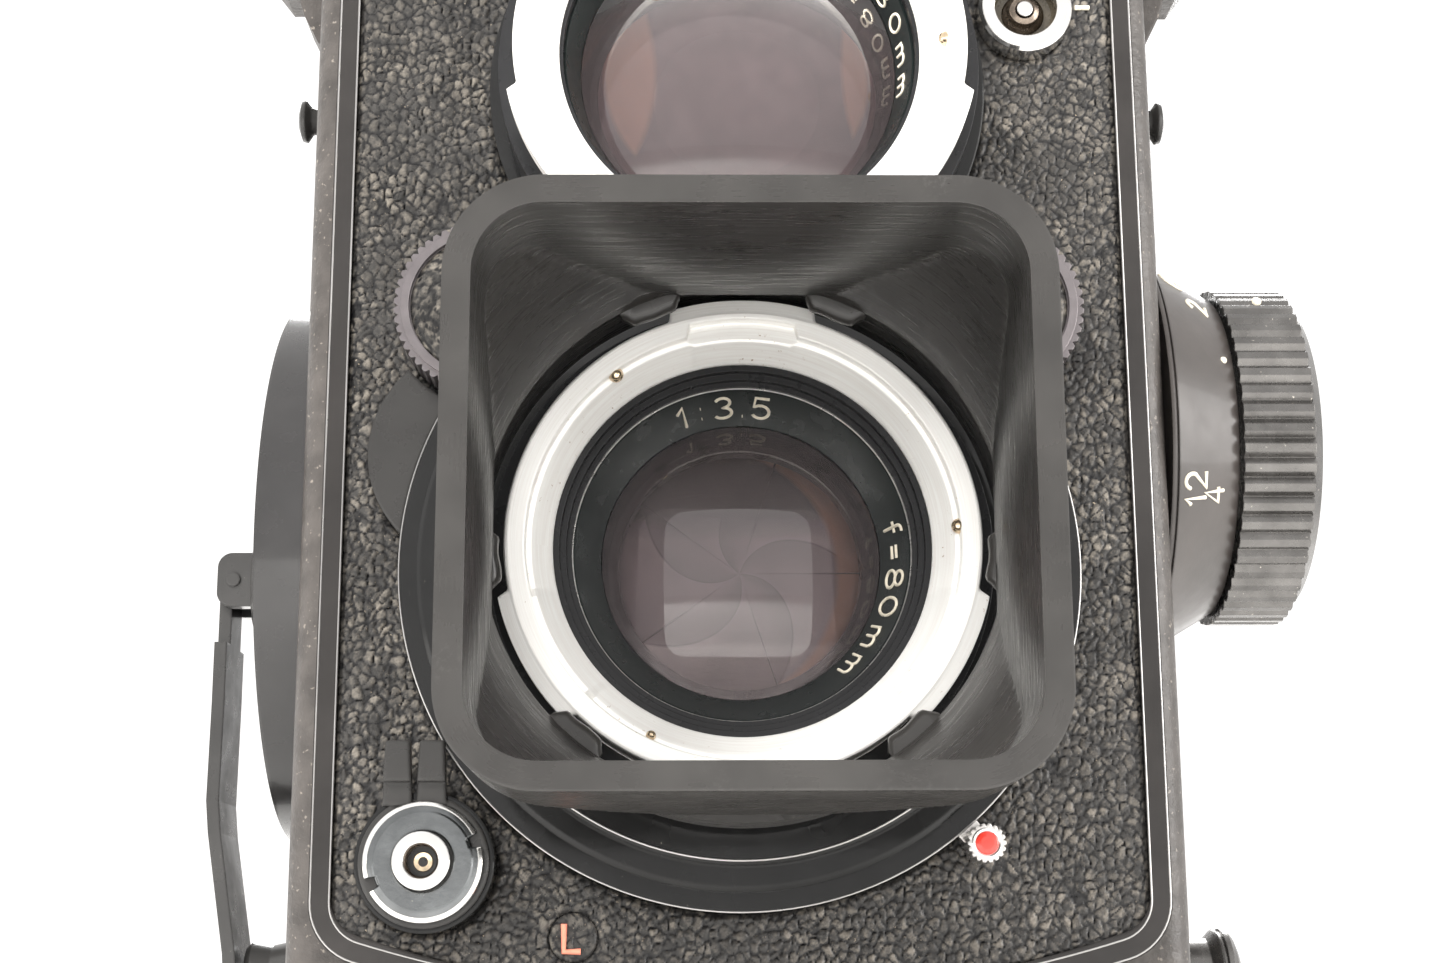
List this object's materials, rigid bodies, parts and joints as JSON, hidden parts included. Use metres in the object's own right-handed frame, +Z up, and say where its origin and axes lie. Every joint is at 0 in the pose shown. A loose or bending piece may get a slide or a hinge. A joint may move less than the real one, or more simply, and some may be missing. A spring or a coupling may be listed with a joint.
{
  "type": "twin lens reflex camera",
  "caption": "Medium-format twin lens reflex camera with a sliding lens board, folding waist-level finder, side crank, focusing knob, hinged back and a square slip-on lens hood.",
  "frame": {"origin": "centre of the tripod socket's mouth, level with the underside of the feet", "axes": "+Z up, lenses look along -Y, +X to the focusing knob side"},
  "size_m": [0.1028, 0.1252, 0.1495],
  "materials": {
    "black_anodised": "black anodised",
    "satin_black_body": "satin black enamel",
    "black_leather": "coarse pebbled grain",
    "steel": "polished",
    "screen_glass": "ground",
    "mirror_glass": "front silvered",
    "satin_chrome": "satin",
    "black_lacquer": "semi-gloss black lacquer",
    "blued_steel": "blued",
    "coated_glass": "amber and purple coating",
    "dial_metal": "satin, knurled",
    "dark_steel": "dark, satin",
    "printed_plastic": "layer lines",
    "knob_alloy": "dark satin, fluted",
    "brass": "machined",
    "spool_plastic": "moulded",
    "clear_glass": "polished"
  },
  "bodies": {
    "camera_body": {"body_shell": "satin_black_body", "front_baffle": "black_anodised", "side_leathers": "black_leather", "finder_frame": "satin_black_body", "hinge_pins": "steel", "ground_glass": "screen_glass", "reflex_mirror": "mirror_glass", "film_gate": "steel", "strap_lugs": "satin_chrome", "case_studs": "satin_chrome", "crank_cover": "black_lacquer", "body_screws": "steel", "front_feet": "steel"},
    "front_standard": {"lens_board": "black_lacquer", "board_leather": "black_leather", "lens_panel": "black_lacquer", "panel_lobe": "satin_black_body", "shutter_housing": "black_lacquer", "shutter_blades": "blued_steel", "taking_ring": "satin_chrome", "taking_barrel": "black_anodised", "taking_name_ring": "black_anodised", "taking_glass": "coated_glass", "viewing_ring": "satin_chrome", "viewing_barrel": "black_anodised", "viewing_name_ring": "black_anodised", "viewing_glass": "coated_glass", "rear_glasses": "coated_glass", "pc_socket": "satin_chrome", "release_base": "black_lacquer", "guide_rods": "steel"},
    "aperture_dial": {"aperture_dial": "dial_metal"},
    "speed_dial": {"speed_dial": "dial_metal"},
    "release_button": {"release_button": "satin_chrome"},
    "release_collar": {"release_collar": "dark_steel"},
    "timer_lever": {"timer_lever": "satin_chrome"},
    "lens_hood": {"lens_hood": "printed_plastic"},
    "focus_knob": {"focus_knob": "knob_alloy", "focus_scale": "black_lacquer"},
    "upper_spool_knob": {"upper_spool_knob": "knob_alloy"},
    "lower_spool_knob": {"lower_spool_knob": "knob_alloy"},
    "takeup_spool": {"takeup_gear": "brass", "takeup_spool": "spool_plastic"},
    "idler_gear": {"idler_gear": "brass"},
    "feed_spool": {"feed_spool": "spool_plastic"},
    "film_roller": {"film_roller": "steel"},
    "crank": {"crank_spindle": "dark_steel"},
    "crank_arm": {"crank_arm": "dark_steel"},
    "crank_handle": {"crank_handle": "black_lacquer"},
    "back_door": {"door_shell": "satin_black_body", "door_leather": "black_leather", "tripod_socket": "satin_chrome"},
    "door_latch": {"door_latch": "satin_chrome"},
    "pressure_plate": {"pressure_plate": "black_anodised"},
    "finder_lid": {"finder_lid": "satin_black_body"},
    "finder_left": {"finder_left": "black_anodised"},
    "finder_right": {"finder_right": "black_anodised"},
    "finder_rear": {"finder_rear": "black_anodised"},
    "magnifier": {"magnifier_frame": "black_anodised", "magnifier_lens": "clear_glass"}
  },
  "joints": [
    {"name": "board_slide", "type": "slide", "parent": "camera_body", "child": "front_standard", "axis": [0, -1, 0], "range_m": [0, 0.0072]},
    {"name": "focus_turn", "type": "hinge", "parent": "camera_body", "child": "focus_knob", "pos_m": [0.048, -0.0195, 0.06595], "axis": [1, 0, 0], "range_deg": [0, 285]},
    {"name": "aperture_turn", "type": "hinge", "parent": "front_standard", "child": "aperture_dial", "pos_m": [-0.0215, -0.05, 0.0715], "axis": [0, -1, 0], "range_deg": [0, 100]},
    {"name": "speed_turn", "type": "hinge", "parent": "front_standard", "child": "speed_dial", "pos_m": [0.0215, -0.05, 0.0715], "axis": [0, -1, 0], "range_deg": [0, 225]},
    {"name": "release_press", "type": "slide", "parent": "front_standard", "child": "release_button", "axis": [0, 1, 0], "range_m": [0, 0.0024], "stiffness_N_per_m": 300},
    {"name": "collar_turn", "type": "hinge", "parent": "front_standard", "child": "release_collar", "pos_m": [-0.0254, -0.05, 0.0259], "axis": [0, -1, 0], "range_deg": [0, 40]},
    {"name": "timer_turn", "type": "hinge", "parent": "front_standard", "child": "timer_lever", "pos_m": [0, -0.047, 0.05], "axis": [0, 1, 0], "range_deg": [0, 30]},
    {"name": "hood_pull_off", "type": "slide", "parent": "front_standard", "child": "lens_hood", "axis": [0, -1, 0], "range_m": [0, 0.03]},
    {"name": "upper_knob_pull", "type": "slide", "parent": "camera_body", "child": "upper_spool_knob", "axis": [1, 0, 0], "range_m": [0, 0.0055]},
    {"name": "lower_knob_pull", "type": "slide", "parent": "camera_body", "child": "lower_spool_knob", "axis": [1, 0, 0], "range_m": [0, 0.0055]},
    {"name": "crank_turn", "type": "hinge", "parent": "camera_body", "child": "crank", "pos_m": [-0.045, -0.015, 0.0542], "axis": [-1, 0, 0], "continuous": true},
    {"name": "crank_fold", "type": "hinge", "parent": "crank", "child": "crank_arm", "pos_m": [-0.0478, -0.015, 0.0542], "axis": [0, 1, 0], "range_deg": [0, 180]},
    {"name": "handle_spin", "type": "hinge", "parent": "crank_arm", "child": "crank_handle", "pos_m": [-0.0432, -0.015, 0.0172], "axis": [1, 0, 0], "continuous": true},
    {"name": "idler_turn", "type": "hinge", "parent": "camera_body", "child": "idler_gear", "pos_m": [-0.0365, 0.0032, 0.07277], "axis": [-1, 0, 0], "continuous": true},
    {"name": "takeup_turn", "type": "hinge", "parent": "camera_body", "child": "takeup_spool", "pos_m": [0, 0.02, 0.0899], "axis": [-1, 0, 0], "continuous": true},
    {"name": "feed_turn", "type": "hinge", "parent": "camera_body", "child": "feed_spool", "pos_m": [0, -0.014, 0.0162], "axis": [-1, 0, 0], "continuous": true},
    {"name": "roller_turn", "type": "hinge", "parent": "camera_body", "child": "film_roller", "pos_m": [0, 0.029, 0.0135], "axis": [-1, 0, 0], "continuous": true},
    {"name": "door_open", "type": "hinge", "parent": "camera_body", "child": "back_door", "pos_m": [0, 0.0384, 0.1226], "axis": [1, 0, 0], "range_deg": [0, 105]},
    {"name": "latch_turn", "type": "hinge", "parent": "back_door", "child": "door_latch", "pos_m": [0, 0, 0.0005], "axis": [0, 0, -1], "range_deg": [0, 90]},
    {"name": "plate_press", "type": "slide", "parent": "back_door", "child": "pressure_plate", "axis": [0, 1, 0], "range_m": [0, 0.0014], "stiffness_N_per_m": 600},
    {"name": "lid_open", "type": "hinge", "parent": "camera_body", "child": "finder_lid", "pos_m": [0, -0.0352, 0.1465], "axis": [1, 0, 0], "range_deg": [0, 90]},
    {"name": "left_side_fold", "type": "hinge", "parent": "camera_body", "child": "finder_left", "pos_m": [-0.0336, 0, 0.132], "axis": [0, -1, 0], "range_deg": [0, 90]},
    {"name": "right_side_fold", "type": "hinge", "parent": "camera_body", "child": "finder_right", "pos_m": [0.0336, 0, 0.1355], "axis": [0, 1, 0], "range_deg": [0, 90]},
    {"name": "rear_fold", "type": "hinge", "parent": "camera_body", "child": "finder_rear", "pos_m": [0, 0.0336, 0.14], "axis": [-1, 0, 0], "range_deg": [0, 90]},
    {"name": "magnifier_swing", "type": "hinge", "parent": "finder_lid", "child": "magnifier", "pos_m": [0, 0.002, 0.1462], "axis": [-1, 0, 0], "range_deg": [0, 90]}
  ],
  "couplings": [
    {"joint": "focus_turn", "follows": "board_slide", "rad_per_m": 690},
    {"joint": "idler_turn", "follows": "crank_turn", "ratio": -1.1667},
    {"joint": "takeup_turn", "follows": "crank_turn", "ratio": 1.1667},
    {"joint": "left_side_fold", "follows": "lid_open", "ratio": 1},
    {"joint": "right_side_fold", "follows": "lid_open", "ratio": 1},
    {"joint": "rear_fold", "follows": "lid_open", "ratio": 1},
    {"joint": "magnifier_swing", "follows": "lid_open", "ratio": 1}
  ]
}
